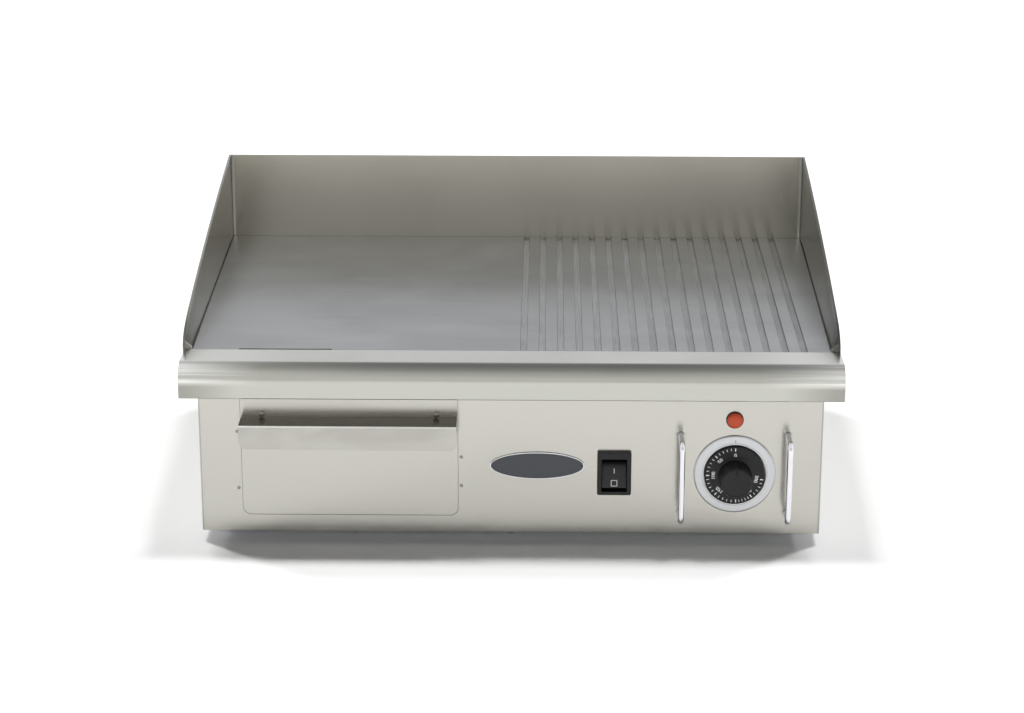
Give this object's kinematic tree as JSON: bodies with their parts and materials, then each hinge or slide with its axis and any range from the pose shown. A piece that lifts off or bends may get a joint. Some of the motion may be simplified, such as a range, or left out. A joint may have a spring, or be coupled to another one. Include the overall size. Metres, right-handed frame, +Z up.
{
  "type": "countertop electric griddle",
  "caption": "Countertop electric griddle with a half-smooth, half-ribbed plate, splash guards, front rail, grease drawer, rocker switch, lamp and guarded thermostat dial.",
  "frame": {"origin": "on the worktop under the middle of the griddle's box", "axes": "+X towards the griddle's right seen from the front, +Y towards its back, +Z up"},
  "size_m": [0.55, 0.4124, 0.24],
  "materials": {
    "brushed_steel": "satin brushed stainless sheet",
    "plate_steel": "ground steel cooking surface with use marks",
    "zinc_steel": "zinc-plated sheet and fasteners",
    "chrome": "polished chrome",
    "aluminium": "satin anodised",
    "capillary_brass": "drawn tube",
    "element_sheath": "dark oxidised sheath",
    "black_plastic": "satin black moulding",
    "red_lens": "translucent orange-red lens",
    "badge": "plain satin slate enamel, no lettering or pattern",
    "rubber": "moulded rubber",
    "ceramic_wool": "pressed ceramic wool board",
    "cream_plastic": "heat-resistant moulding"
  },
  "bodies": {
    "housing": {"griddle_plate": "plate_steel", "left_splash_guard": "brushed_steel", "right_splash_guard": "brushed_steel", "rear_splash_guard": "brushed_steel", "front_rail": "brushed_steel", "left_rail_end": "brushed_steel", "right_rail_end": "brushed_steel", "front_panel": "brushed_steel", "left_side_panel": "brushed_steel", "right_side_panel": "brushed_steel", "rear_panel": "brushed_steel", "bottom_plate": "zinc_steel", "left_drawer_runner": "zinc_steel", "right_drawer_runner": "zinc_steel", "drain_chute": "zinc_steel", "left_element_clamp": "zinc_steel", "right_element_clamp": "zinc_steel", "left_clamp_bolt_front": "zinc_steel", "left_clamp_bolt_rear": "zinc_steel", "right_clamp_bolt_front": "zinc_steel", "right_clamp_bolt_rear": "zinc_steel", "heat_shield": "zinc_steel", "left_bar_nut_lower": "zinc_steel", "left_bar_nut_upper": "zinc_steel", "right_bar_nut_lower": "zinc_steel", "right_bar_nut_upper": "zinc_steel", "bonding_screw": "zinc_steel", "bonding_nut": "zinc_steel", "left_guard_bar": "chrome", "right_guard_bar": "chrome", "dial_bezel": "aluminium", "thermostat_bulb": "capillary_brass", "capillary_tube": "capillary_brass", "heating_element_1": "element_sheath", "heating_element_2": "element_sheath", "heating_element_3": "element_sheath", "switch_housing": "black_plastic", "lamp_body": "black_plastic", "cable_gland": "black_plastic", "gland_nut": "black_plastic", "lamp_lens": "red_lens", "badge_plate": "badge", "foot_front_left": "rubber", "foot_front_right": "rubber", "foot_rear_left": "rubber", "foot_rear_right": "rubber", "insulation_board": "ceramic_wool", "thermostat_body": "cream_plastic", "safety_limiter": "cream_plastic", "terminal_block": "cream_plastic"},
    "drawer": {"drip_drawer": "brushed_steel", "drawer_front": "brushed_steel", "drawer_handle": "brushed_steel", "drawer_rivet_1": "chrome", "drawer_rivet_2": "chrome"},
    "dial": {"control_knob": "black_plastic", "thermostat_spindle": "zinc_steel"},
    "rocker": {"switch_rocker": "black_plastic"}
  },
  "joints": [
    {"name": "drawer_slide", "type": "slide", "parent": "housing", "child": "drawer", "axis": [0, -1, 0], "range_m": [0, 0.2]},
    {"name": "dial_turn", "type": "hinge", "parent": "housing", "child": "dial", "pos_m": [0.187, -0.1908, 0.064], "axis": [0, 1, 0], "range_deg": [0, 261]},
    {"name": "rocker_tilt", "type": "hinge", "parent": "housing", "child": "rocker", "pos_m": [0.0866, -0.1732, 0.063], "axis": [1, 0, 0], "range_deg": [0, 24]}
  ]
}
